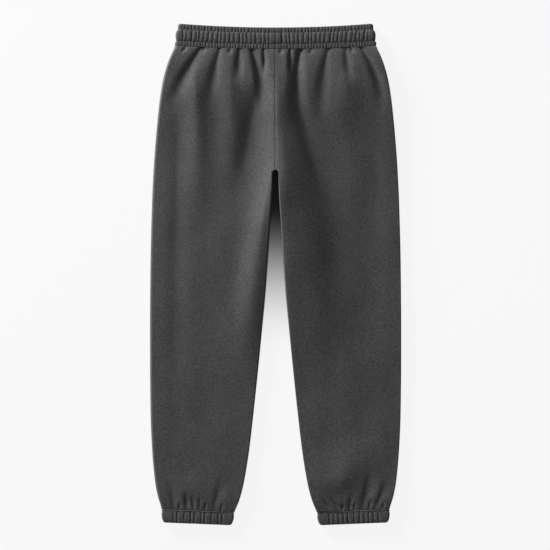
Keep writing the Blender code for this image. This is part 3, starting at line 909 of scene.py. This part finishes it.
def fleece(name, colour):
    """Mottled, napped cloth: colour times (1 + broad + mottle + fleck), and a bump of nap.

    Each part is a noise about 0 times its own strength.
    """
    shader = Shader(name)
    place = shader.node(
        "ShaderNodeMapping", {}, shader.node("ShaderNodeTexCoord", {})[3], Rotation=NOISE_TURN
    )[0]

    def noise(scale, detail, roughness=0.5):
        """Noise about 0, with `scale` grains to the metre."""
        texture = shader.node(
            "ShaderNodeTexNoise", {}, Vector=place, Scale=scale, Detail=detail, Roughness=roughness
        )
        return texture[0] - 0.5

    broad = noise(scale=14.0, detail=3.0)
    mottle = noise(scale=300.0, detail=2.0)
    fleck = noise(scale=950.0, detail=1.0)
    tone = 1.0 + BROAD_TINT * broad + MOTTLE_TINT * mottle + FLECK_TINT * fleck
    tint = shader.node(
        "ShaderNodeVectorMath", {"operation": "SCALE"}, tuple(colour), Scale=tone
    )[0]
    nap = noise(scale=420.0, detail=4.0, roughness=0.65)
    nap = nap + FINE_NAP * noise(scale=1700.0, detail=3.0, roughness=0.6)
    bump = shader.node("ShaderNodeBump", {}, Strength=NAP_BUMP, Distance=NAP_HEIGHT, Height=nap)[0]
    shader.settings(
        {
            "Base Color": tint,
            "Normal": bump,
            "Roughness": 0.95,
            "Specular IOR Level": 0.18,
            "Sheen Weight": 0.06,
            "Sheen Roughness": 0.45,
            "Sheen Tint": (0.8, 0.8, 0.82, 1.0),
        }
    )
    return shader.material


def thread(name, colour):
    """Sewing thread, smoother and a little darker than the cloth."""
    shader = Shader(name)
    shader.settings({"Base Color": (*colour, 1.0), "Roughness": 0.7})
    return shader.material


panel_fleece = fleece("panel_fleece", CHARCOAL)
band_fleece = fleece("band_fleece", CHARCOAL)
charcoal_thread = thread("charcoal_thread", THREAD_COLOUR)
print("nodes in the fleece:", len(band_fleece.node_tree.nodes))

# %% [markdown]
# ## Putting the pieces on the model
#
# Each shell takes the place of its solid, which is hidden, and gets its fleece.  All of them ride
# on the one body, because cloth has no joints, and so do the stitches.

# %% Ride and replace
Sewn = namedtuple("Sewn", "piece node slot material flat area rests_on")
PANEL_CUT = (0.262, 0.965)
PANEL_AREA = 0.206  # one panel is widest at the thigh and narrows to the ankle
BAND_CUT = (1.06, 0.048)  # before the elastic gathers it
CUFF_CUT = (0.335, 0.031)
SEWN = (
    Sewn(back_left, "back_panel_left", "panel_fleece", panel_fleece, PANEL_CUT, PANEL_AREA,
         ["front_left_cloth"]),
    Sewn(back_right, "back_panel_right", "panel_fleece", panel_fleece, PANEL_CUT, PANEL_AREA,
         ["front_right_cloth"]),
    Sewn(front_left, "front_panel_left", "panel_fleece", panel_fleece, PANEL_CUT, PANEL_AREA,
         ["floor"]),
    Sewn(front_right, "front_panel_right", "panel_fleece", panel_fleece, PANEL_CUT, PANEL_AREA,
         ["floor"]),
    Sewn(waistband, "waistband", "waistband_fleece", band_fleece, BAND_CUT, None, ["floor"]),
    Sewn(cuff_left, "ankle_cuff_left", "cuff_fleece", band_fleece, CUFF_CUT, None, ["floor"]),
    Sewn(cuff_right, "ankle_cuff_right", "cuff_fleece", band_fleece, CUFF_CUT, None, ["floor"]),
)

for sewn in SEWN:
    sewn.piece.data.materials.append(sewn.material)
    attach(sewn.piece, "root")
    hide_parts(sewn.node)

for stitches, slot in [(waist_stitches, "waistband_fleece")] + [
    (rows, "cuff_fleece") for rows in cuff_stitches
]:
    stitches.data.materials.append(charcoal_thread)
    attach(stitches, "root")
print("sheets:", len(SEWN), "and rows of stitches on", 1 + len(cuff_stitches), "bands")

# %% [markdown]
# ## The surface below
#
# Clothes are often laid on a table that is lit from within, which leaves hardly any shadow.  The
# surface is made that way: nearly black cloth would look grey beside a lamp strong enough to whiten
# plain paper, so the paper glows by itself and the lamp only has to model the folds.  Between the
# thighs the glow is turned down by place. This is a painted shadow of the legs, darkest below the
# crotch, that fades in down the slot.

# %% A pale surface that glows
# Sizes of the painted shade in the slot between the legs.  It is full down to SLOT_DARK below the
# waistband seam, is gone by SLOT_LIGHT, and lies only within SLOT_HALF_WIDTH of the middle.
SLOT_DARK, SLOT_LIGHT = 300.0, 640.0  # below the waistband seam
SLOT_HALF_WIDTH = 60.0
SLOT_TOP_FADE = 100.0
GLOW = 0.88
PAPER = 0.06
FLOOR_SIZE = 40  # metres
bpy.ops.mesh.primitive_plane_add(size=FLOOR_SIZE)
floor = bpy.context.object
floor.name = "floor"
paper = Shader("pale_surface")
place_x, place_y, _ = paper.node(
    "ShaderNodeSeparateXYZ", {}, paper.node("ShaderNodeTexCoord", {})[3]
)


def fade(value, start, end):
    """0 up to start and 1 from end on, both in millimetres, with soft ends."""
    settings = {"interpolation_type": "SMOOTHERSTEP"}
    return paper.node("ShaderNodeMapRange", settings, value, start * MM, end * MM, 0.0, 1.0)[0]


# Painted shade: the glow is dimmed by place between the legs, darkest just below the crotch and
# fading in down the slot, standing in for the legs' shadow there.
slot_end = fade(WAIST_SEAM_Y * MM - place_y, SLOT_DARK, SLOT_LIGHT)
slot_side = fade(place_x.math("ABSOLUTE", place_x), SLOT_HALF_WIDTH, 2 * SLOT_HALF_WIDTH)
slot_start = fade(place_y, WAIST_SEAM_Y - SLOT_TOP_FADE, WAIST_SEAM_Y)
painted_glow_share = place_x.math("MINIMUM", slot_end + slot_side + slot_start, 1.0)
light = paper.node(
    "ShaderNodeVectorMath", {"operation": "SCALE"}, (1.0, 1.0, 1.0), Scale=painted_glow_share
)[0]
paper.settings(
    {
        "Base Color": (PAPER, PAPER, PAPER, 1.0),
        "Emission Color": light,
        "Emission Strength": GLOW,
        "Roughness": 0.9,
        "Specular IOR Level": 0.0,
    }
)
floor.data.materials.append(paper.material)
print("surface:", floor.dimensions.x, "m wide, glow", GLOW)

# %% [markdown]
# ## Light and camera
#
# The key is a square lamp, low over the upper left, so that it rakes across the cloth and every
# fold has a lit side and a dark one.  An even white surround fills the dark sides.  The camera
# looks straight down from far off through a long lens, so the outline has hardly any perspective.

# %% Light, camera and colour
FRAME_WIDTH = 1.1176  # metres of surface across the picture
LENS, SENSOR = 135.0, 36.0
AIM_X, AIM_Y, AIM_Z = -0.0012, -0.001, 0.008  # the point that the camera looks at, in metres
SURROUND = 0.33  # strength


def window(name, power, size, distance, turn, height):
    """A square soft light that looks at the garment from `distance` metres: `turn` is how many
    degrees it stands to the left of the waist's direction, and `height` how many it is up."""
    turn, height = math.radians(turn), math.radians(height)
    level = math.cos(height)
    towards = Vector((-math.sin(turn) * level, math.cos(turn) * level, math.sin(height)))
    light = bpy.data.lights.new(name, "AREA")
    light.energy, light.size = power, size
    lamp = bpy.data.objects.new(name, light)
    lamp.location = towards * distance
    lamp.rotation_euler = towards.to_track_quat("Z", "Y").to_euler()
    bpy.context.scene.collection.objects.link(lamp)
    return lamp


key = window("key", power=1500, size=1.45, distance=5.5, turn=42, height=8)

world = bpy.data.worlds.new("surround")
world.use_nodes = True
world.node_tree.nodes["Background"].inputs["Color"].default_value = (1.0, 1.0, 1.0, 1.0)
world.node_tree.nodes["Background"].inputs["Strength"].default_value = SURROUND
bpy.context.scene.world = world

camera = bpy.data.cameras.new("camera")
camera.lens, camera.sensor_width = LENS, SENSOR
camera.clip_end = 100.0
camera_object = bpy.data.objects.new("camera", camera)
camera_object.location = (AIM_X, AIM_Y, FRAME_WIDTH * LENS / SENSOR + AIM_Z)
bpy.context.scene.collection.objects.link(camera_object)
bpy.context.scene.camera = camera_object
bpy.context.scene.view_settings.view_transform = "Standard"
print(f"camera {camera_object.location.z:.2f} m up, lamp {key.location.length:.1f} m away")

# %% Bring the scene up to date
bpy.context.view_layer.update()
